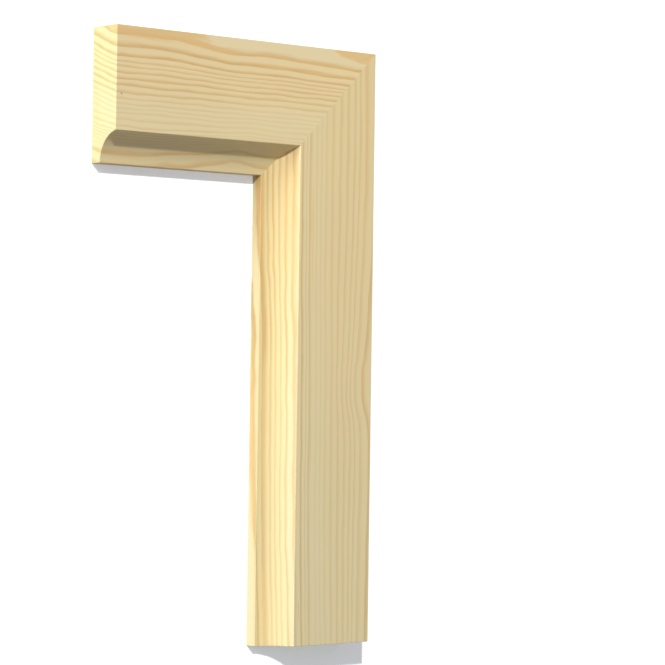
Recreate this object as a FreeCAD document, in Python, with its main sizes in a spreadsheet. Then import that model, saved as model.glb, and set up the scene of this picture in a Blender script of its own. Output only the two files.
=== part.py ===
import FreeCAD, Part
import Sketcher
import math
import os

# Mitred top corner of a softwood door architrave, lying on its back.
# +X runs along the head to the outer corner, +Y runs up the leg, +Z comes out of the moulded face.
# The origin is the centre of the corner's outline, on the plane of its back.

OUT_FOLDER = "parts"

# The driving dimensions, in millimetres
DRIVING_SIZES = [
    ("face_width", 70.0, "width of the moulding across its face"),
    ("board_thickness", 20.0, "thickness at the flat face and the outer edge"),
    ("edge_thickness", 6.8, "thickness left at the thin inner edge"),
    ("cove_width", 16.2, "width of the cove, from the inner edge to the arris on the face"),
    ("arris_radius", 0.4, "easing of the long arrises"),
    ("leg_length", 322.0, "length of the leg along its outer edge"),
    ("head_length", 178.0, "length of the head along its outer edge"),
]


def make_sheet(doc):
    sheet = doc.addObject("Spreadsheet::Sheet", "Sizes")
    for row, (alias, value, meaning) in enumerate(DRIVING_SIZES, start=1):
        sheet.set(f"A{row}", meaning)
        sheet.set(f"B{row}", str(value))
        sheet.setAlias(f"B{row}", alias)
    doc.recompute()
    return sheet


def origin_plane(body, role):
    return next(plane for plane in body.Origin.OriginFeatures if plane.Role == role)


def new_sketch(body, name, role):
    sketch = body.newObject("Sketcher::SketchObject", name)
    sketch.AttachmentSupport = (origin_plane(body, role), [""])
    sketch.MapMode = "FlatFace"
    return sketch


def bind(sketch, constraint, name, expression):
    """Adds a dimension to a sketch and ties it to the sheet."""
    index = sketch.addConstraint(constraint)
    sketch.renameConstraint(index, name)
    sketch.setExpression(f"Constraints.{name}", expression)


def draw_profile(body, sheet):
    """The moulding's section: X across the face from the inner edge, Y out of the wall."""
    sketch = new_sketch(body, "Profile", "XZ_Plane")
    width, thickness = sheet.face_width, sheet.board_thickness
    edge, cove = sheet.edge_thickness, sheet.cove_width
    depth = thickness - edge
    radius = (cove**2 + depth**2) / (2 * depth)

    back_inner = FreeCAD.Vector(0, 0, 0)
    back_outer = FreeCAD.Vector(width, 0, 0)
    face_outer = FreeCAD.Vector(width, thickness, 0)
    face_arris = FreeCAD.Vector(cove, thickness, 0)
    cove_foot = FreeCAD.Vector(0, edge, 0)
    cove_centre = FreeCAD.Vector(0, edge + radius, 0)

    back = sketch.addGeometry(Part.LineSegment(back_inner, back_outer))
    outer = sketch.addGeometry(Part.LineSegment(back_outer, face_outer))
    face = sketch.addGeometry(Part.LineSegment(face_outer, face_arris))
    inner = sketch.addGeometry(Part.LineSegment(cove_foot, back_inner))
    circle = Part.Circle(cove_centre, FreeCAD.Vector(0, 0, 1), radius)
    foot_angle = -math.pi / 2
    arris_angle = math.atan2(face_arris.y - cove_centre.y, face_arris.x)
    arc = sketch.addGeometry(Part.ArcOfCircle(circle, foot_angle, arris_angle))

    joins = [(back, 2, outer, 1), (outer, 2, face, 1), (face, 2, arc, 2), (arc, 1, inner, 1), (inner, 2, back, 1)]
    for join in joins:
        sketch.addConstraint(Sketcher.Constraint("Coincident", *join))
    sketch.addConstraint(Sketcher.Constraint("Coincident", back, 1, -1, 1))
    sketch.addConstraint(Sketcher.Constraint("Horizontal", back))
    sketch.addConstraint(Sketcher.Constraint("Vertical", outer))
    sketch.addConstraint(Sketcher.Constraint("Horizontal", face))
    sketch.addConstraint(Sketcher.Constraint("Vertical", inner))
    # The cove leaves the thin edge parallel to the face: its centre stands over the inner edge.
    sketch.addConstraint(Sketcher.Constraint("PointOnObject", arc, 3, -2))
    bind(sketch, Sketcher.Constraint("DistanceX", back, 1, back, 2, width), "face_width", "Sizes.face_width")
    bind(sketch, Sketcher.Constraint("DistanceY", outer, 1, outer, 2, thickness), "thickness", "Sizes.board_thickness")
    bind(sketch, Sketcher.Constraint("DistanceY", inner, 2, inner, 1, edge), "edge", "Sizes.edge_thickness")
    bind(sketch, Sketcher.Constraint("DistanceX", inner, 1, face, 2, cove), "cove", "Sizes.cove_width")
    return sketch


def long_edges(shape, places):
    """Names of the straight edges that run the whole length at these places in the section."""
    names = []
    for number, edge in enumerate(shape.Edges, start=1):
        ends = [vertex.Point for vertex in edge.Vertexes]
        along = len(ends) == 2 and abs(ends[0].x - ends[1].x) < 1e-6 and abs(ends[0].z - ends[1].z) < 1e-6
        if along and any(abs(ends[0].x - x) < 1e-6 and abs(ends[0].z - z) < 1e-6 for x, z in places):
            names.append(f"Edge{number}")
    return names


def cut_mitre(body, sheet, at_start, length_alias):
    """Saws one end at 45 degrees, so that the outer edge keeps the whole length."""
    sketch = new_sketch(body, "MitreCut", "XY_Plane")
    width = sheet.face_width
    length = getattr(sheet, length_alias)
    corner_y, inner_y = (0.0, width) if at_start else (length, length - width)
    inner_end = FreeCAD.Vector(0, inner_y, 0)
    corner = FreeCAD.Vector(0, corner_y, 0)
    outer_end = FreeCAD.Vector(width, corner_y, 0)

    saw = sketch.addGeometry(Part.LineSegment(outer_end, inner_end))
    side = sketch.addGeometry(Part.LineSegment(inner_end, corner))
    end = sketch.addGeometry(Part.LineSegment(corner, outer_end))
    for join in [(saw, 2, side, 1), (side, 2, end, 1), (end, 2, saw, 1)]:
        sketch.addConstraint(Sketcher.Constraint("Coincident", *join))
    sketch.addConstraint(Sketcher.Constraint("Vertical", side))
    sketch.addConstraint(Sketcher.Constraint("Horizontal", end))
    sketch.addConstraint(Sketcher.Constraint("Equal", side, end))
    bind(sketch, Sketcher.Constraint("DistanceX", end, 1, end, 2, width), "across", "Sizes.face_width")
    if at_start:
        sketch.addConstraint(Sketcher.Constraint("Coincident", side, 2, -1, 1))
    else:
        sketch.addConstraint(Sketcher.Constraint("PointOnObject", side, 2, -2))
        place = Sketcher.Constraint("DistanceY", -1, 1, side, 2, length)
        bind(sketch, place, "along", f"Sizes.{length_alias}")

    pocket = body.newObject("PartDesign::Pocket", "Mitre")
    pocket.Profile = sketch
    pocket.Type = "ThroughAll"
    pocket.Reversed = True
    return pocket


def make_moulding(doc, sheet, node, length_alias, mitre_at_start):
    """One length of the moulding. It runs along its own +Y, with the thin inner edge on its Y axis."""
    body = doc.addObject("PartDesign::Body", node)
    body.Label = node
    profile = draw_profile(body, sheet)
    doc.recompute()

    board = body.newObject("PartDesign::Pad", "Board")
    board.Profile = profile
    board.Reversed = True
    board.setExpression("Length", f"Sizes.{length_alias}")
    doc.recompute()

    arrises = [
        (sheet.face_width, sheet.board_thickness),
        (sheet.cove_width, sheet.board_thickness),
        (0.0, sheet.edge_thickness),
    ]
    easing = body.newObject("PartDesign::Fillet", "EasedArrises")
    easing.Base = (board, long_edges(board.Shape, arrises))
    easing.setExpression("Radius", "Sizes.arris_radius")
    doc.recompute()

    uncut = body.Shape.Volume
    cut_mitre(body, sheet, mitre_at_start, length_alias)
    doc.recompute()
    if not body.Shape.Volume < uncut:
        raise RuntimeError(f"{node}: the mitre cut took nothing away")
    return body


def place(body, x, y, turn=0.0):
    """Sets the piece in the corner, with its place tied to the sheet."""
    body.Placement = FreeCAD.Placement(FreeCAD.Vector(), FreeCAD.Rotation(FreeCAD.Vector(0, 0, 1), turn))
    body.setExpression("Placement.Base.x", x)
    body.setExpression("Placement.Base.y", y)


def check(doc, bodies):
    for thing in doc.Objects:
        if {"Invalid", "Error"} & set(thing.State):
            raise RuntimeError(f"{thing.Name} failed: {thing.State}")
    for body in bodies:
        shape = body.Shape
        if shape.isNull() or not shape.isValid() or len(shape.Solids) != 1:
            raise RuntimeError(f"{body.Label} isn't one sound solid")


def main():
    doc = FreeCAD.newDocument("ArchitraveCorner")
    sheet = make_sheet(doc)

    leg = make_moulding(doc, sheet, "architrave_leg", "leg_length", mitre_at_start=False)
    head = make_moulding(doc, sheet, "architrave_head", "head_length", mitre_at_start=True)
    # Both pieces meet at the outer corner, half the head's length across and half the leg's length up.
    place(leg, "Sizes.head_length / 2 - Sizes.face_width", "-Sizes.leg_length / 2")
    place(head, "Sizes.head_length / 2", "Sizes.leg_length / 2 - Sizes.face_width", turn=90.0)
    doc.recompute()

    bodies = [leg, head]
    check(doc, bodies)
    os.makedirs(OUT_FOLDER, exist_ok=True)
    for body in bodies:
        body.Shape.exportStep(os.path.join(OUT_FOLDER, f"{body.Label}.step"))
        box = body.Shape.BoundBox
        print(f"{body.Label}: {box.XLength:.2f} x {box.YLength:.2f} x {box.ZLength:.2f} mm,"
              f" {body.Shape.Volume / 1000:.2f} cm3")


main()
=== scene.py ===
import math

import bmesh
import bpy
from mathutils import Matrix, Vector


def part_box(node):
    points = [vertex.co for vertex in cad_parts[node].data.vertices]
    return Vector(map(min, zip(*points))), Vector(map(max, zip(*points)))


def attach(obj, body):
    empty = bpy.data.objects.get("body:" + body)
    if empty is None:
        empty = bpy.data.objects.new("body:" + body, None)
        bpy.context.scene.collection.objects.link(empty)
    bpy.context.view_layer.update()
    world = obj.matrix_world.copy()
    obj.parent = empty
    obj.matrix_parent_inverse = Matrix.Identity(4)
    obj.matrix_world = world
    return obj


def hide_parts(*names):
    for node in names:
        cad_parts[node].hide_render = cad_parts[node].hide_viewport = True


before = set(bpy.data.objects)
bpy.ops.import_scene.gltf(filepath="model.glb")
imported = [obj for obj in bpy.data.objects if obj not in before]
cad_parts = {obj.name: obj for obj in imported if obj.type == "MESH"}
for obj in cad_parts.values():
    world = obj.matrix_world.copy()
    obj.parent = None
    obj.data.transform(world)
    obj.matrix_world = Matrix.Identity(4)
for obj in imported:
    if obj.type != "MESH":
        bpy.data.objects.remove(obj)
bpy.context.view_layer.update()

# Mitred corner of a pine architrave, lying on its back on a pale floor.
# Metres throughout, apart from the wood's figure, which is laid out in millimetres on each board.


def hexColour(code):
    # a paint chip such as "e1cd9d" to Blender's linear colour
    channels = [int(code[place:place + 2], 16) / 255 for place in (0, 2, 4)]
    linear = [c / 12.92 if c <= 0.04045 else ((c + 0.055) / 1.055) ** 2.4 for c in channels]
    return (*linear, 1.0)


# Node helpers

def addNode(tree, kind, label=None, **settings):
    node = tree.nodes.new(kind)
    if label:
        node.label = label
    for name, value in settings.items():
        setattr(node, name, value)
    return node


def feed(tree, socket, value):
    # a value is either another node's output or a plain number, colour or vector
    if isinstance(value, bpy.types.NodeSocket):
        tree.links.new(value, socket)
    else:
        socket.default_value = value


def doMath(tree, operation, first, second=0.0, third=0.0, clamp=False):
    node = addNode(tree, "ShaderNodeMath", operation=operation, use_clamp=clamp)
    for socket, value in zip(node.inputs, (first, second, third)):
        feed(tree, socket, value)
    return node.outputs[0]


def hypotenuse(tree, first, second):
    squares = [doMath(tree, "POWER", side, 2.0) for side in (first, second)]
    return doMath(tree, "SQRT", doMath(tree, "ADD", *squares))


def noise(tree, board, grain, seed):
    # the cell is the noise's size along, across and deep in the board; it comes out centred on zero
    scaled = addNode(tree, "ShaderNodeVectorMath", operation="MULTIPLY")
    feed(tree, scaled.inputs[0], board)
    scaled.inputs[1].default_value = [1 / length for length in grain["cell"]]
    node = addNode(tree, "ShaderNodeTexNoise", noise_dimensions="4D")
    feed(tree, node.inputs["Vector"], scaled.outputs[0])
    feed(tree, node.inputs["W"], seed)
    node.inputs["Scale"].default_value = 1.0
    node.inputs["Detail"].default_value = grain["detail"]
    node.inputs["Roughness"].default_value = grain["roughness"]
    return doMath(tree, "SUBTRACT", node.outputs["Fac"], 0.5)


def ramp(tree, value, low, high, start=0.0, end=1.0):
    # a smooth step from start to end as the value goes from low to high
    node = addNode(tree, "ShaderNodeMapRange", interpolation_type="SMOOTHSTEP")
    names = ("Value", "From Min", "From Max", "To Min", "To Max")
    for name, given in zip(names, (value, low, high, start, end)):
        feed(tree, node.inputs[name], given)
    return node.outputs["Result"]


def blendColour(tree, factor, first, second):
    node = addNode(tree, "ShaderNodeMix", data_type="RGBA")
    feed(tree, node.inputs["Factor"], factor)
    feed(tree, node.inputs[6], first)  # 6, 7 and the output 2 are the sockets for colours
    feed(tree, node.inputs[7], second)
    return node.outputs[2]


def handCurve(tree, value, points, label):
    # a curve given point by point: points are (input, output), in the units of the two quantities
    lowIn, highIn = points[0][0], points[-1][0]
    lowOut, highOut = min(y for x, y in points), max(y for x, y in points)
    spread = (highOut - lowOut) or 1.0
    share = doMath(tree, "DIVIDE", doMath(tree, "SUBTRACT", value, lowIn), highIn - lowIn, clamp=True)
    node = addNode(tree, "ShaderNodeFloatCurve", label)
    curve = node.mapping.curves[0]
    for index, (x, y) in enumerate(points):
        place = ((x - lowIn) / (highIn - lowIn), (y - lowOut) / spread)
        if index in (0, len(points) - 1):
            curve.points[0 if index == 0 else -1].location = place
        else:
            curve.points.new(*place)
    node.mapping.update()
    feed(tree, node.inputs["Value"], share)
    return doMath(tree, "MULTIPLY_ADD", node.outputs[0], spread, lowOut)


def newGroup(name, inputs, outputs):
    group = bpy.data.node_groups.new(name, "ShaderNodeTree")
    for socketName, kind, default in inputs:
        socket = group.interface.new_socket(name=socketName, in_out="INPUT", socket_type=kind)
        if default is not None:
            socket.default_value = default
    for socketName, kind in outputs:
        group.interface.new_socket(name=socketName, in_out="OUTPUT", socket_type=kind)
    entry = group.nodes.new("NodeGroupInput").outputs
    leave = group.nodes.new("NodeGroupOutput").inputs
    return group, entry, leave


def placeGroup(tree, group, **values):
    # underscores in the argument names stand for spaces in the socket names
    node = addNode(tree, "ShaderNodeGroup", node_tree=group)
    for name, value in values.items():
        feed(tree, node.inputs[name.replace("_", " ")], value)
    return node


# Growth rings: how far from the outer edge of the board each ring would meet its face

ringLook = {
    "pithBeyondEdge": 260.0,
    "pithAboveFace": 78.0,
    "coveRange": (55.0, 71.0),  # the drift in the cove grows from the first to the second
    "leanRange": (30.0, 56.0),  # and the lean dies away over these
    "slow": {"cell": (40.0, 9.0, 30.0), "detail": 1.0, "roughness": 0.5},
    "quick": {"cell": (8.0, 3.0, 10.0), "detail": 1.0, "roughness": 0.5},
    "quickShare": 0.3,
    "ripple": {"cell": (20.0, 6.0, 16.0), "detail": 1.0, "roughness": 0.5},
}


def makeRingField():
    group, entry, leave = newGroup(
        "growthRings",
        [
            ("Board", "NodeSocketVector", None),
            ("Pith Beyond Edge", "NodeSocketFloat", ringLook["pithBeyondEdge"]),
            ("Pith Above Face", "NodeSocketFloat", ringLook["pithAboveFace"]),
            ("Edge Drift", "NodeSocketFloat", 0.0),
            ("Edge Reach", "NodeSocketFloat", 30.0),
            ("Inner Drift", "NodeSocketFloat", 0.0),
            ("Inner From", "NodeSocketFloat", 40.0),
            ("Inner To", "NodeSocketFloat", 70.0),
            ("Cove Drift", "NodeSocketFloat", 0.0),
            ("Lean", "NodeSocketFloat", 0.0),
            ("Wander", "NodeSocketFloat", 1.0),
            ("Ripple", "NodeSocketFloat", 1.0),
            ("Seed", "NodeSocketFloat", 0.0),
        ],
        [("Across", "NodeSocketFloat")],
    )
    board, seed = entry["Board"], entry["Seed"]
    split = addNode(group, "ShaderNodeSeparateXYZ")
    feed(group, split.inputs[0], board)
    across, deep = split.outputs[1], split.outputs[2]

    # distance from the pith, less that of the outer arris
    beyond, above = entry["Pith Beyond Edge"], entry["Pith Above Face"]
    radius = hypotenuse(group, doMath(group, "ADD", across, beyond), doMath(group, "ADD", deep, above))
    rings = doMath(group, "SUBTRACT", radius, hypotenuse(group, beyond, above))

    # drifts bend the rings along the board: one fades away from the outer edge, the others grow inwards
    edgeShare = doMath(group, "SUBTRACT", 1.0, doMath(group, "DIVIDE", rings, entry["Edge Reach"]))
    driftShares = {
        "Edge Drift": doMath(group, "MAXIMUM", edgeShare, 0.0),
        "Inner Drift": ramp(group, rings, entry["Inner From"], entry["Inner To"]),
        "Cove Drift": ramp(group, rings, *ringLook["coveRange"]),
    }
    bent = rings
    for drift, share in driftShares.items():
        bent = doMath(group, "SUBTRACT", bent, doMath(group, "MULTIPLY", entry[drift], share))

    # the rings may lean further over below the flat of the face
    leaning = doMath(group, "MULTIPLY", deep, ramp(group, rings, *ringLook["leanRange"], 1.0, 0.0))
    bent = doMath(group, "MULTIPLY_ADD", leaning, entry["Lean"], bent)

    slow = noise(group, board, ringLook["slow"], seed)
    quick = noise(group, board, ringLook["quick"], seed)
    ripple = noise(group, board, ringLook["ripple"], seed)
    wander = doMath(group, "MULTIPLY_ADD", quick, ringLook["quickShare"], slow)
    bent = doMath(group, "MULTIPLY_ADD", wander, entry["Wander"], bent)
    feed(group, leave["Across"], doMath(group, "MULTIPLY_ADD", ripple, entry["Ripple"], bent))
    return group


# Figure: pale earlywood that darkens into each ring's latewood and stops short at its edge

figureLook = {
    "peak": 0.85,  # how far through a ring its latewood is darkest
    "swell": {"cell": (24.0, 2.4, 8.0), "detail": 2.0, "roughness": 0.5},
    "widthSwell": 0.35,
    "strengthSwell": 0.8,
    "fibre": {"cell": (14.0, 0.35, 0.35), "detail": 3.0, "roughness": 0.6},
    "fibreTint": 0.05,
    "fibreRelief": 0.8,
    "cloud": {"cell": (70.0, 16.0, 30.0), "detail": 1.0, "roughness": 0.5},
    "cloudTint": 0.05,
    "latewoodRelief": 0.6,
}


def makeFigure():
    group, entry, leave = newGroup(
        "pineFigure",
        [
            ("Board", "NodeSocketVector", None),
            ("Ring Count", "NodeSocketFloat", 0.0),
            ("Band Strength", "NodeSocketFloat", 1.0),
            ("Band Width", "NodeSocketFloat", 0.5),
            ("Resin Patch", "NodeSocketFloat", 0.0),
            ("Earlywood", "NodeSocketColor", hexColour("e1cc9c")),
            ("Latewood", "NodeSocketColor", hexColour("d0b078")),
            ("Resin", "NodeSocketColor", hexColour("dab87e")),
            ("Tint", "NodeSocketColor", (1.0, 1.0, 1.0, 1.0)),
            ("Fibre Contrast", "NodeSocketFloat", 1.0),
            ("Seed", "NodeSocketFloat", 0.0),
        ],
        [
            ("Color", "NodeSocketColor"),
            ("Latewood Share", "NodeSocketFloat"),
            ("Relief", "NodeSocketFloat"),
        ],
    )
    board, seed = entry["Board"], entry["Seed"]
    growth = doMath(group, "FRACT", entry["Ring Count"])
    peak = figureLook["peak"]

    # the bands swell and thin along the board
    swell = noise(group, board, figureLook["swell"], seed)
    width = doMath(group, "MULTIPLY_ADD", swell, figureLook["widthSwell"], entry["Band Width"])
    rise = ramp(group, growth, doMath(group, "SUBTRACT", peak, width), peak)
    stop = ramp(group, growth, peak, 1.0, 1.0, 0.0)
    swollen = doMath(group, "MULTIPLY_ADD", swell, figureLook["strengthSwell"], 1.0)
    strength = doMath(group, "MULTIPLY", entry["Band Strength"], swollen)
    band = doMath(group, "MULTIPLY", doMath(group, "MULTIPLY", rise, stop), strength, clamp=True)

    # fibres, and the slow drift of tint over the board
    fibre = noise(group, board, figureLook["fibre"], seed)
    cloud = noise(group, board, figureLook["cloud"], seed)
    fibreShade = doMath(group, "MULTIPLY", fibre, entry["Fibre Contrast"])
    shade = doMath(group, "MULTIPLY_ADD", fibreShade, figureLook["fibreTint"], 1.0)
    shade = doMath(group, "MULTIPLY_ADD", cloud, figureLook["cloudTint"], shade)
    mixed = blendColour(group, band, entry["Earlywood"], entry["Latewood"])
    mixed = blendColour(group, entry["Resin Patch"], mixed, entry["Resin"])
    shaded = addNode(group, "ShaderNodeVectorMath", operation="SCALE")
    feed(group, shaded.inputs[0], mixed)
    feed(group, shaded.inputs["Scale"], shade)
    # the tint is the material's tone along the board, partly painted light
    tinted = addNode(group, "ShaderNodeVectorMath", operation="MULTIPLY")
    feed(group, tinted.inputs[0], shaded.outputs[0])
    feed(group, tinted.inputs[1], entry["Tint"])

    # latewood and resin stand a little proud of the softer wood
    hard = doMath(group, "MAXIMUM", band, entry["Resin Patch"])
    relief = doMath(group, "MULTIPLY", fibre, figureLook["fibreRelief"])
    relief = doMath(group, "MULTIPLY_ADD", hard, figureLook["latewoodRelief"], relief)
    feed(group, leave["Color"], tinted.outputs[0])
    feed(group, leave["Latewood Share"], hard)
    feed(group, leave["Relief"], relief)
    return group


# A resin-rich patch: a long lens in the wood that follows the rings, cut open by a face or the cove

patchLook = {
    "halfDepth": 9.0,
    "ragged": {"cell": (12.0, 2.0, 3.0), "detail": 3.0, "roughness": 0.6},
    "raggedSeed": 3.7,
    "raggedShare": 0.6,
    "streaks": {"cell": (16.0, 1.4, 1.4), "detail": 1.0, "roughness": 0.5},
    "streakSeed": 8.2,
    "streakShare": 0.8,
    "meanDepth": 0.92,
}


def makeResinPatch():
    group, entry, leave = newGroup(
        "resinPatch",
        [
            ("Board", "NodeSocketVector", None),
            ("Across", "NodeSocketFloat", 0.0),
            ("Along Centre", "NodeSocketFloat", 0.0),
            ("Across Centre", "NodeSocketFloat", 0.0),
            ("Deep Centre", "NodeSocketFloat", 0.0),
            ("Half Length", "NodeSocketFloat", 10.0),
            ("Half Width", "NodeSocketFloat", 2.0),
            ("Half Depth", "NodeSocketFloat", patchLook["halfDepth"]),
            ("Softness", "NodeSocketFloat", 0.3),
        ],
        [("Mask", "NodeSocketFloat")],
    )
    board = entry["Board"]
    split = addNode(group, "ShaderNodeSeparateXYZ")
    feed(group, split.inputs[0], board)
    shares = []
    for place, centre, half in ((split.outputs[0], "Along Centre", "Half Length"),
                                (entry["Across"], "Across Centre", "Half Width"),
                                (split.outputs[2], "Deep Centre", "Half Depth")):
        offset = doMath(group, "SUBTRACT", place, entry[centre])
        shares.append(doMath(group, "DIVIDE", offset, entry[half]))
    alongShare, acrossShare, deepShare = shares
    reach = hypotenuse(group, hypotenuse(group, alongShare, acrossShare), deepShare)

    # its outline is ragged, and it is streaked along the grain
    ragged = noise(group, board, patchLook["ragged"], patchLook["raggedSeed"])
    reach = doMath(group, "MULTIPLY_ADD", ragged, patchLook["raggedShare"], reach)
    inner = doMath(group, "SUBTRACT", 1.0, entry["Softness"])
    inside = ramp(group, reach, inner, 1.0, 1.0, 0.0)
    streaks = noise(group, board, patchLook["streaks"], patchLook["streakSeed"])
    depth = doMath(group, "MULTIPLY_ADD", streaks, patchLook["streakShare"], patchLook["meanDepth"],
                   clamp=True)
    feed(group, leave["Mask"], doMath(group, "MULTIPLY", inside, depth))
    return group


ringField = makeRingField()
figure = makeFigure()
resinPatch = makeResinPatch()
print("stage: node groups ready")


# Materials: one of planed and one of sawn pine for each board

# where one earlywood gives way to the next, in rings across or millimetres deep
earlywoodSteps = [
    {"by": "across", "low": 1.0, "high": 6.0, "shade": "earlywood"},
    {"by": "across", "low": 22.0, "high": 42.0, "shade": "innerEarlywood"},
    {"by": "across", "low": 51.0, "high": 57.0, "shade": "coveEarlywood"},
    {"by": "deep", "low": 13.0, "high": 15.0, "shade": "backEarlywood"},
]


def boardSpace(tree, wood):
    # millimetres along the board, across from its outer edge, and deep from its face
    place = addNode(tree, "ShaderNodeTexCoord")
    mapping = addNode(tree, "ShaderNodeMapping", "board millimetres")
    mapping.inputs["Location"].default_value = wood["boardStart"]
    mapping.inputs["Rotation"].default_value = (0.0, 0.0, math.radians(wood["boardTurn"]))
    mapping.inputs["Scale"].default_value = wood["boardScale"]
    feed(tree, mapping.inputs["Vector"], place.outputs["Object"])
    return mapping.outputs["Vector"]


def spotMask(tree, board, across, spot):
    # a resin patch, an area of painted shade or a pin knot, centred on the face unless it says how deep
    lens = placeGroup(tree, resinPatch, Board=board, Across=across, Along_Centre=spot["along"],
                      Across_Centre=spot["across"], Deep_Centre=spot.get("deep", 0.0),
                      Half_Length=spot["halfLength"], Half_Width=spot["halfWidth"],
                      Softness=spot["softness"])
    return lens.outputs["Mask"]


def makePine(name, wood, finish):
    material = bpy.data.materials.new(name)
    material.use_nodes = True
    tree = material.node_tree
    shader = tree.nodes["Principled BSDF"]

    board = boardSpace(tree, wood)
    split = addNode(tree, "ShaderNodeSeparateXYZ")
    feed(tree, split.inputs[0], board)
    along, deep = split.outputs[0], split.outputs[2]
    edgeDrift = handCurve(tree, along, wood["edgeDrift"], "drift at the outer edge")
    innerDrift = handCurve(tree, along, wood["innerDrift"], "drift towards the cove")
    coveDrift = handCurve(tree, along, wood["coveDrift"], "drift in the cove")
    rings = placeGroup(tree, ringField, Board=board, Edge_Drift=edgeDrift, Edge_Reach=wood["edgeReach"],
                       Inner_Drift=innerDrift, Inner_From=wood["innerFrom"], Inner_To=wood["innerTo"],
                       Cove_Drift=coveDrift, Lean=wood["lean"], Wander=wood["wander"],
                       Ripple=wood["ripple"], Seed=wood["seed"])
    across = rings.outputs["Across"]
    ringCount = handCurve(tree, across, wood["ringCount"], "rings counted from the outer edge")
    bandStrength = handCurve(tree, across, wood["bandStrength"], "strength of the latewood")
    bandWidth = handCurve(tree, across, wood["bandWidth"], "share of the ring that darkens")

    # the latewood is stronger or fainter in one region of the board, and a little fainter where sawn
    region = wood["grainRegion"]
    regionShare = doMath(tree, "MULTIPLY", ramp(tree, along, *region["along"]),
                         ramp(tree, across, *region["across"]))
    plainShare = finish["bandShare"]
    bandShare = ramp(tree, regionShare, 0.0, 1.0, plainShare, plainShare * region["share"])
    bandStrength = doMath(tree, "MULTIPLY", bandStrength, bandShare)

    patchMask = 0.0
    for patch in wood["resinPatches"]:
        patched = doMath(tree, "MULTIPLY", spotMask(tree, board, across, patch), patch["depth"])
        patchMask = doMath(tree, "MAXIMUM", patched, patchMask)

    earlywood = hexColour(wood["outerEarlywood"])
    for step in earlywoodSteps:
        place = across if step["by"] == "across" else deep
        share = ramp(tree, place, step["low"], step["high"])
        earlywood = blendColour(tree, share, earlywood, hexColour(wood[step["shade"]]))
    # painted shade: each of these areas darkens the earlywood where the other board keeps light off the
    # wood
    for shadeArea in wood["paintedShadeAreas"]:
        share = spotMask(tree, board, across, shadeArea)
        earlywood = blendColour(tree, share, earlywood, hexColour(shadeArea["colour"]))
    # the tone along each board is partly the wood's own and partly painted light: greyer and bluer at the
    # leg's foot and the head's left end, warmer towards the mitre on both
    startToneAndPaintedLight, endToneAndPaintedLight = ([part * share for part, share in zip(wood[end], finish["toneAndPaintedLight"])]
                          for end in ("startToneAndPaintedLight", "endToneAndPaintedLight"))
    toneAndPaintedLight = blendColour(tree, ramp(tree, along, 0.0, wood["tintLength"]), startToneAndPaintedLight, endToneAndPaintedLight)

    pine = placeGroup(tree, figure, Board=board, Ring_Count=ringCount, Band_Strength=bandStrength,
                      Band_Width=bandWidth, Resin_Patch=patchMask, Earlywood=earlywood,
                      Latewood=hexColour(wood["latewood"]), Resin=hexColour(wood["resin"]),
                      Tint=toneAndPaintedLight, Fibre_Contrast=finish["fibreContrast"], Seed=wood["seed"])
    colour = pine.outputs["Color"]
    for knot in wood["pinKnots"]:
        share = spotMask(tree, board, across, knot)
        colour = blendColour(tree, share, colour, hexColour(knot["colour"]))
    roughness = ramp(tree, pine.outputs["Latewood Share"], 0.0, 1.0,
                     finish["earlywoodRoughness"], finish["latewoodRoughness"])
    bump = addNode(tree, "ShaderNodeBump")
    bump.inputs["Distance"].default_value = finish["relief"]
    bump.inputs["Strength"].default_value = 1.0
    feed(tree, bump.inputs["Height"], pine.outputs["Relief"])
    feed(tree, shader.inputs["Base Color"], colour)
    feed(tree, shader.inputs["Roughness"], roughness)
    feed(tree, shader.inputs["Normal"], bump.outputs["Normal"])
    return material


planed = {
    "toneAndPaintedLight": (1.0, 1.0, 1.0, 1.0),
    "bandShare": 1.0,
    "fibreContrast": 1.0,
    "earlywoodRoughness": 0.62,
    "latewoodRoughness": 0.5,
    "relief": 0.00002,
}
sawn = {
    # painted light: the sawn end grain is made paler in green and blue, standing in for the strong light
    # on the head's end
    "toneAndPaintedLight": (0.95, 1.11, 1.07, 1.0),
    "bandShare": 0.9,
    "fibreContrast": 1.6,
    "earlywoodRoughness": 0.8,
    "latewoodRoughness": 0.7,
    "relief": 0.00004,
}


# Moulding: the section is drawn, run along its length, eased and sawn

section = {
    "coveWidth": 0.0162,
    "edgeThickness": 0.0068,
    "coveSteps": 40,
    "easing": 0.0004,
    "outerEasing": 0.00012,
    "easingSteps": 4,
    "sawnEasing": 0.00015,
    "mitreEasing": 0.00005,
    "sawAllowance": 0.005,  # stock left on both ends for the saw
    "sharpDegrees": 35.0,
    "straight": 1e-7,  # slack in whether an edge runs along the stock
    "near": 1e-6,  # and in whether it lies at an arris
}


def makeObject(name, mesh, materials):
    data = bpy.data.meshes.new(name)
    mesh.to_mesh(data)
    mesh.free()
    for material in materials:
        data.materials.append(material)
    made = bpy.data.objects.new(name, data)
    bpy.context.scene.collection.objects.link(made)
    return made


def drawSection(mesh, width, thickness):
    # X runs from the inner edge to the outer, Z up from the back
    depth = thickness - section["edgeThickness"]
    radius = (section["coveWidth"] ** 2 + depth ** 2) / (2 * depth)
    sweep = math.asin(section["coveWidth"] / radius)
    centre = (0, 0, section["edgeThickness"] + radius)
    foot = mesh.verts.new((0, 0, section["edgeThickness"]))
    swept = bmesh.ops.spin(mesh, geom=[foot], cent=centre, axis=(0, -1, 0), angle=sweep,
                           steps=section["coveSteps"])
    arris = next(item for item in swept["geom_last"] if isinstance(item, bmesh.types.BMVert))
    outerArris = mesh.verts.new((width, 0, thickness))
    backOuter = mesh.verts.new((width, 0, 0))
    backInner = mesh.verts.new((0, 0, 0))
    for pair in ((arris, outerArris), (outerArris, backOuter), (backOuter, backInner), (backInner, foot)):
        mesh.edges.new(pair)
    filled = bmesh.ops.contextual_create(mesh, geom=mesh.edges[:])
    return filled["faces"][0]


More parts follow.
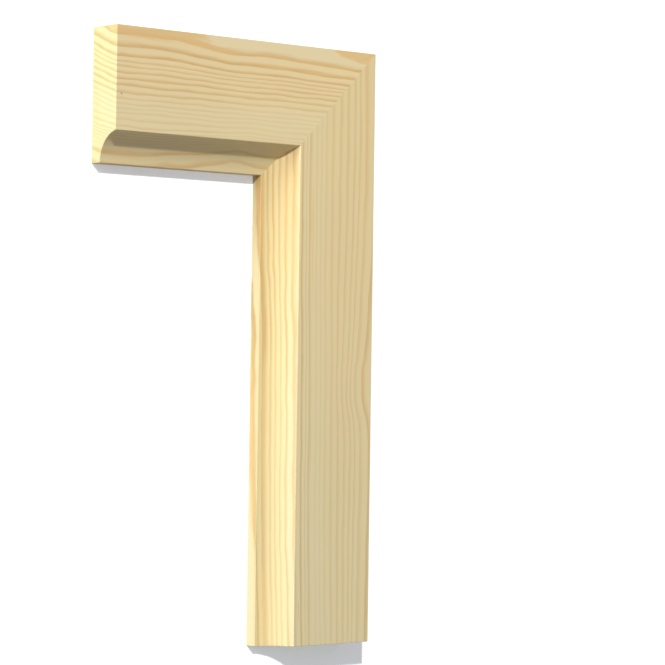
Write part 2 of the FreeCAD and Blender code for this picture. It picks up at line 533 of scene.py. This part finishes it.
def bevelEdges(mesh, edges, offset, steps):
    bmesh.ops.bevel(mesh, geom=edges, offset=offset, offset_type="OFFSET", affect="EDGES",
                    segments=steps, profile=0.5, material=-1)


def easeArris(mesh, x, z, radius):
    # rounds the edge that runs along the stock at this place in the section
    straight, near = section["straight"], section["near"]
    chosen = []
    for edge in mesh.edges:
        a, b = (vert.co for vert in edge.verts)
        isLong = abs(a.x - b.x) < straight and abs(a.z - b.z) < straight
        if isLong and abs(a.x - x) < near and abs(a.z - z) < near:
            chosen.append(edge)
    bevelEdges(mesh, chosen, radius, section["easingSteps"])


def sawEnd(mesh, place, outward, easing):
    # cuts everything past the plane away, closes the cut and takes its sharpness off
    everything = mesh.verts[:] + mesh.edges[:] + mesh.faces[:]
    cut = bmesh.ops.bisect_plane(mesh, geom=everything, dist=section["straight"], plane_co=place,
                                 plane_no=outward, clear_outer=True)
    rim = [item for item in cut["geom_cut"] if isinstance(item, bmesh.types.BMEdge)]
    closed = bmesh.ops.edgeloop_fill(mesh, edges=rim, mat_nr=1)
    bevelEdges(mesh, closed["faces"][0].edges[:], easing, 1)


def makeMoulding(name, node, mitreAtStart, turn, materials):
    low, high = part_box(node)
    size = Vector(high) - Vector(low)
    length = max(size.x, size.y)
    width = min(size.x, size.y)
    thickness = size.z
    allowance = section["sawAllowance"]

    mesh = bmesh.new()
    profile = drawSection(mesh, width, thickness)
    run = bmesh.ops.extrude_face_region(mesh, geom=[profile])
    moved = [item for item in run["geom"] if isinstance(item, bmesh.types.BMVert)]
    bmesh.ops.translate(mesh, verts=moved, vec=(0, length + 2 * allowance, 0))
    bmesh.ops.translate(mesh, verts=mesh.verts[:], vec=(0, -allowance, 0))
    bmesh.ops.recalc_face_normals(mesh, faces=mesh.faces[:])
    easeArris(mesh, width, thickness, section["outerEasing"])
    easeArris(mesh, section["coveWidth"], thickness, section["easing"])
    easeArris(mesh, 0.0, section["edgeThickness"], section["easing"])

    if mitreAtStart:
        sawEnd(mesh, (width, 0, 0), (-1, -1, 0), section["mitreEasing"])
        sawEnd(mesh, (0, length, 0), (0, 1, 0), section["sawnEasing"])
    else:
        sawEnd(mesh, (width, length, 0), (-1, 1, 0), section["mitreEasing"])
        sawEnd(mesh, (0, 0, 0), (0, -1, 0), section["sawnEasing"])

    # turned the way it lies, and set down where its node is
    turning = Matrix.Rotation(math.radians(turn), 3, "Z")
    bmesh.ops.rotate(mesh, verts=mesh.verts[:], cent=(0, 0, 0), matrix=turning)
    corner = Vector((min(vert.co.x for vert in mesh.verts), min(vert.co.y for vert in mesh.verts), 0))
    bmesh.ops.translate(mesh, verts=mesh.verts[:], vec=Vector(low) - corner)
    bmesh.ops.recalc_face_normals(mesh, faces=mesh.faces[:])
    for face in mesh.faces:
        face.smooth = True

    piece = makeObject(name, mesh, materials)
    piece.data.set_sharp_from_angle(angle=math.radians(section["sharpDegrees"]))
    normals = piece.modifiers.new("flatFaces", "WEIGHTED_NORMAL")
    normals.keep_sharp = True
    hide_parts(node)
    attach(piece, "root")
    return piece


# Leg: close upright grain, pushed in once by a knot that lies outside the board

legWood = {
    "boardStart": (161.0, 89.0, 20.0),
    "boardTurn": -90.0,
    "boardScale": (1000.0, 1000.0, -1000.0),
    "lean": 0.0,
    "wander": 0.8,
    "ripple": 1.0,
    "seed": 4.0,
    "edgeDrift": [(0, 0.0), (60, -1.0), (92, -1.7), (115, -0.8), (128, 2.6), (142, 4.8), (154, 2.8),
                  (171, 0.6), (199, -1.4), (238, -3.2), (257, -3.8), (322, -2.6)],
    "edgeReach": 30.0,
    "innerDrift": [(0, 0.0), (40, 1.2), (80, 2.0), (134, 2.2), (165, 2.6), (200, 3.4), (322, 3.3)],
    "innerFrom": -4.0,
    "innerTo": 36.0,
    "coveDrift": [(0, -0.1), (40, 0.35), (60, 0.65), (85, 0.8), (110, 1.15), (130, 1.3), (145, 1.2),
                  (160, 0.9), (178, 0.9), (192, 1.1), (205, 2.3), (220, 2.6), (235, 2.95), (322, 3.2)],
    "ringCount": [(-8, 0.0), (0, 0.45), (3.5, 1.0), (8.9, 2.0), (15.1, 4.0), (22.7, 6.0), (31, 8.0),
                  (37.4, 10.0), (42, 11.0), (44, 12.0), (47.2, 13.0), (51.2, 14.0), (54, 15.0),
                  (58.8, 17.0), (61.3, 18.0), (65.6, 19.0), (69.4, 20.0), (78, 20.9)],
    "bandStrength": [(-8, 0.8), (3, 0.75), (8, 0.44), (22, 0.42), (30, 0.28), (37, 0.22), (41, 0.6),
                     (43.5, 0.45), (46.6, 0.9), (48.6, 0.6), (50.6, 0.6), (53.4, 0.8), (56, 0.6),
                     (58.4, 0.6), (60.9, 0.58), (63.5, 0.8), (66.3, 0.82), (67.6, 0.95), (78, 0.95)],
    "bandWidth": [(-8, 0.5), (4, 0.55), (9, 0.5), (44, 0.5), (52.5, 0.45), (57, 0.5), (60, 0.6),
                  (63, 0.85), (66, 0.7), (67.5, 0.25), (78, 0.25)],
    "grainRegion": {"along": (120.0, 190.0), "across": (46.0, 52.0), "share": 1.5},
    "outerEarlywood": "dcc99c",
    "earlywood": "dcc99c",
    "innerEarlywood": "dbcba0",
    "coveEarlywood": "dbc894",
    "backEarlywood": "e2d3a6",
    "latewood": "caaa70",
    "resin": "dcb77a",
    "tintLength": 260.0,
    # partly painted light: greyer and bluer at the foot, as if lit by a bluish bounce there
    "startToneAndPaintedLight": (0.94, 0.973, 0.995, 1.0),
    "endToneAndPaintedLight": (1.015, 1.0, 0.95, 1.0),
    "resinPatches": [
        {"along": 0.0, "across": 68.8, "deep": 13.0, "halfLength": 56.0, "halfWidth": 1.9,
         "softness": 0.4, "depth": 0.35},
        {"along": 20.0, "across": 65.0, "deep": 12.0, "halfLength": 48.0, "halfWidth": 1.6,
         "softness": 0.8, "depth": 0.7},
        {"along": 105.0, "across": 68.9, "deep": 17.0, "halfLength": 85.0, "halfWidth": 1.1,
         "softness": 0.8, "depth": 0.8},
        {"along": 18.0, "across": 48.4, "halfLength": 9.0, "halfWidth": 0.8,
         "softness": 0.8, "depth": 0.6},
        {"along": 116.0, "across": 63.9, "deep": 13.0, "halfLength": 58.0, "halfWidth": 1.5,
         "softness": 0.8, "depth": 0.45},
        {"along": 240.0, "across": 53.4, "deep": 10.0, "halfLength": 40.0, "halfWidth": 1.0,
         "softness": 0.9, "depth": 0.6},
        {"along": 218.0, "across": 38.9, "halfLength": 44.0, "halfWidth": 0.6,
         "softness": 0.8, "depth": 0.8},
        {"along": 285.0, "across": 7.8, "halfLength": 80.0, "halfWidth": 1.8,
         "softness": 0.9, "depth": 0.3},
        {"along": 143.0, "across": 2.0, "halfLength": 22.0, "halfWidth": 1.4,
         "softness": 0.9, "depth": 0.7},
        {"along": 245.0, "across": 64.4, "deep": 15.0, "halfLength": 48.0, "halfWidth": 1.8,
         "softness": 0.7, "depth": 0.75},
    ],
    # painted shade: a darker earlywood over the leg's cove towards the mitre, where the head keeps the low
    # light off it
    "paintedShadeAreas": [
        {"along": 240.0, "across": 52.0, "deep": 6.0, "halfLength": 110.0, "halfWidth": 12.0,
         "softness": 0.95, "colour": "dbc38f"},
    ],
    "pinKnots": [],
}
legMaterials = [makePine("planedPineLeg", legWood, planed), makePine("sawnPineLeg", legWood, sawn)]
leg = makeMoulding("legMoulding", "architrave_leg", False, 0.0, legMaterials)
print("stage: leg made")


# Head: wide, strong rings along its outer edge, closing up towards the cove

headWood = {
    "boardStart": (89.0, 161.0, 20.0),
    "boardTurn": 0.0,
    "boardScale": (1000.0, -1000.0, -1000.0),
    "lean": 0.06,
    "wander": 1.0,
    "ripple": 1.7,
    "seed": 11.0,
    "edgeDrift": [(0, 0.0), (34, 0.0), (48, 1.3), (58, 2.9), (67, 4.3), (80, 5.4), (107, 4.7),
                  (125, 6.1), (144, 7.4), (178, 9.0)],
    "edgeReach": 30.0,
    "innerDrift": [(0, 0.0), (29, 0.0), (42, -1.4), (55, -2.3), (69, -3.9), (83, -6.4), (89, -7.6),
                   (96, -6.5), (112, -4.5), (178, -3.0)],
    "innerFrom": 38.0,
    "innerTo": 68.0,
    "coveDrift": [(0, 0.0), (178, 0.0)],
    "ringCount": [(-8, 0.0), (2.4, 0.55), (5.2, 1.0), (11.3, 2.0), (15.8, 3.0), (20.9, 5.0), (26.9, 7.0),
                  (33.8, 9.0), (39.1, 11.0), (43.9, 13.0), (50.5, 15.0), (55.8, 18.0), (61.8, 21.0),
                  (66.1, 22.0), (73.2, 23.0), (79, 23.7)],
    "bandStrength": [(-8, 0.2), (3, 0.95), (15.4, 0.95), (18.5, 0.6), (21, 0.6), (24, 0.75),
                     (30.5, 0.8), (34, 0.6), (37, 0.4), (45, 0.3), (50, 0.45), (59, 0.25),
                     (62, 0.15), (64, 0.8), (79, 0.85)],
    "bandWidth": [(-8, 0.6), (6, 0.5), (14, 0.5), (20, 0.55), (55, 0.5), (66, 0.6), (69, 0.38),
                  (79, 0.35)],
    "grainRegion": {"along": (50.0, 90.0), "across": (24.0, 34.0), "share": 0.65},
    "outerEarlywood": "e1d0a6",
    "earlywood": "e2ce9e",
    "innerEarlywood": "decfa2",
    "coveEarlywood": "ddcc9d",
    "backEarlywood": "ddcc9d",
    "latewood": "ceab71",
    "resin": "dab87c",
    "tintLength": 178.0,
    # partly painted light: warmer and brighter towards the mitre
    "startToneAndPaintedLight": (0.96, 0.94, 0.94, 1.0),
    "endToneAndPaintedLight": (1.01, 0.99, 0.956, 1.0),
    "resinPatches": [
        {"along": 20.0, "across": -1.0, "halfLength": 44.0, "halfWidth": 7.6,
         "softness": 0.3, "depth": 0.9},
        {"along": 56.0, "across": 3.4, "halfLength": 33.0, "halfWidth": 2.6,
         "softness": 0.5, "depth": 0.95},
        {"along": 176.0, "across": -7.0, "halfLength": 31.0, "halfWidth": 6.4,
         "softness": 0.2, "depth": 0.9},
        {"along": 125.0, "across": 3.8, "halfLength": 60.0, "halfWidth": 1.5,
         "softness": 0.7, "depth": 0.55},
        {"along": 107.0, "across": 9.9, "halfLength": 12.0, "halfWidth": 1.5,
         "softness": 0.8, "depth": 0.95},
        {"along": 133.0, "across": 9.9, "halfLength": 16.0, "halfWidth": 1.3,
         "softness": 0.8, "depth": 0.9},
        {"along": 30.0, "across": 25.9, "halfLength": 9.0, "halfWidth": 1.0,
         "softness": 0.9, "depth": 0.8},
        {"along": 15.0, "across": 65.0, "deep": 12.0, "halfLength": 30.0, "halfWidth": 2.2,
         "softness": 0.8, "depth": 0.6},
    ],
    "paintedShadeAreas": [],
    "pinKnots": [
        {"along": 3.4, "across": 33.9, "halfLength": 1.0, "halfWidth": 0.6,
         "softness": 0.7, "colour": "a8875a"},
    ],
}
headMaterials = [makePine("planedPineHead", headWood, planed), makePine("sawnPineHead", headWood, sawn)]
head = makeMoulding("headMoulding", "architrave_head", True, 90.0, headMaterials)
print("stage: head made")


# Floor: pale, and white where the camera sees it

floorLook = {
    "halfSize": 4.0,
    "seenColour": (1.0, 1.0, 1.0, 1.0),
    "bounceColour": (0.3, 0.3, 0.3, 1.0),
    "glow": 0.24,
    "glowColour": (0.95, 1.0, 1.1, 1.0),
}


def seenDirectly(tree):
    # one for what the camera sees straight on, in a reflection or through glass
    path = addNode(tree, "ShaderNodeLightPath")
    seen = doMath(tree, "MAXIMUM", path.outputs["Is Camera Ray"], path.outputs["Is Glossy Ray"])
    return doMath(tree, "MAXIMUM", seen, path.outputs["Is Transmission Ray"])


def makeFloor():
    material = bpy.data.materials.new("paleFloor")
    material.use_nodes = True
    tree = material.node_tree
    shader = tree.nodes["Principled BSDF"]
    seen = seenDirectly(tree)
    colour = blendColour(tree, seen, floorLook["bounceColour"], floorLook["seenColour"])
    feed(tree, shader.inputs["Base Color"], colour)
    shader.inputs["Roughness"].default_value = 1.0
    shader.inputs["Specular IOR Level"].default_value = 0.0
    shader.inputs["Emission Color"].default_value = floorLook["glowColour"]
    feed(tree, shader.inputs["Emission Strength"], doMath(tree, "MULTIPLY", seen, floorLook["glow"]))

    mesh = bmesh.new()
    bmesh.ops.create_grid(mesh, x_segments=1, y_segments=1, size=floorLook["halfSize"])
    floor = makeObject("floor", mesh, [material])


makeFloor()


# Light: a small key high on the upper left, a low broad fill from the left, and an even white room

lighting = {
    "key": {"direction": (-0.7, 0.71, 1.0), "distance": 8.0, "size": (0.27, 0.27), "strength": 0.805},
    "fill": {"direction": (-0.87, 0.47, 0.12), "distance": 3.2, "size": (3.0, 0.8), "strength": 0.94},
    "roomColour": (1.0, 1.0, 1.0, 1.0),
    "roomStrength": 0.29,
    "seenStrength": 1.0,
}


def makeLamp(name, look):
    # strength is what a white surface at the origin, facing the lamp, would show
    place = Vector(look["direction"]).normalized() * look["distance"]
    lamp = bpy.data.lights.new(name, "AREA")
    lamp.shape = "RECTANGLE"
    lamp.size, lamp.size_y = look["size"]
    lamp.energy = look["strength"] * (math.pi * look["distance"]) ** 2
    holder = bpy.data.objects.new(name, lamp)
    holder.location = place
    holder.rotation_euler = (-place).to_track_quat("-Z", "Y").to_euler()
    bpy.context.scene.collection.objects.link(holder)


def makeRoom():
    world = bpy.data.worlds.new("room")
    world.use_nodes = True
    tree = world.node_tree
    background = tree.nodes["Background"]
    background.inputs["Color"].default_value = lighting["roomColour"]
    strength = ramp(tree, seenDirectly(tree), 0.0, 1.0, lighting["roomStrength"], lighting["seenStrength"])
    feed(tree, background.inputs["Strength"], strength)
    bpy.context.scene.world = world


makeLamp("keyLamp", lighting["key"])
makeLamp("fillLamp", lighting["fill"])
makeRoom()
print("stage: floor and lights ready")


# Camera: where the photograph was taken from, looking down on the moulding

cameraStand = {
    "place": (-0.94609, -0.01592, 1.14838),
    "target": (0.07791, 0.00801, 0.0),
    "rollDegrees": 0.811,
    "lens": 151.19,
    "sensor": 36.0,
    "clipStart": 0.01,
}


def makeCamera():
    place, target = Vector(cameraStand["place"]), Vector(cameraStand["target"])
    forward = (target - place).normalized()
    right = forward.cross(Vector((0, 1, 0))).normalized()
    up = right.cross(forward)
    level = Matrix((right, up, -forward)).transposed()
    roll = Matrix.Rotation(math.radians(cameraStand["rollDegrees"]), 3, "Z")
    data = bpy.data.cameras.new("camera")
    data.lens = cameraStand["lens"]
    data.sensor_width = cameraStand["sensor"]
    data.clip_start = cameraStand["clipStart"]
    camera = bpy.data.objects.new("camera", data)
    camera.matrix_world = Matrix.Translation(place) @ (level @ roll).to_4x4()
    bpy.context.scene.collection.objects.link(camera)
    bpy.context.scene.camera = camera


makeCamera()
bpy.context.scene.view_settings.view_transform = "Standard"
print("stage: camera set")
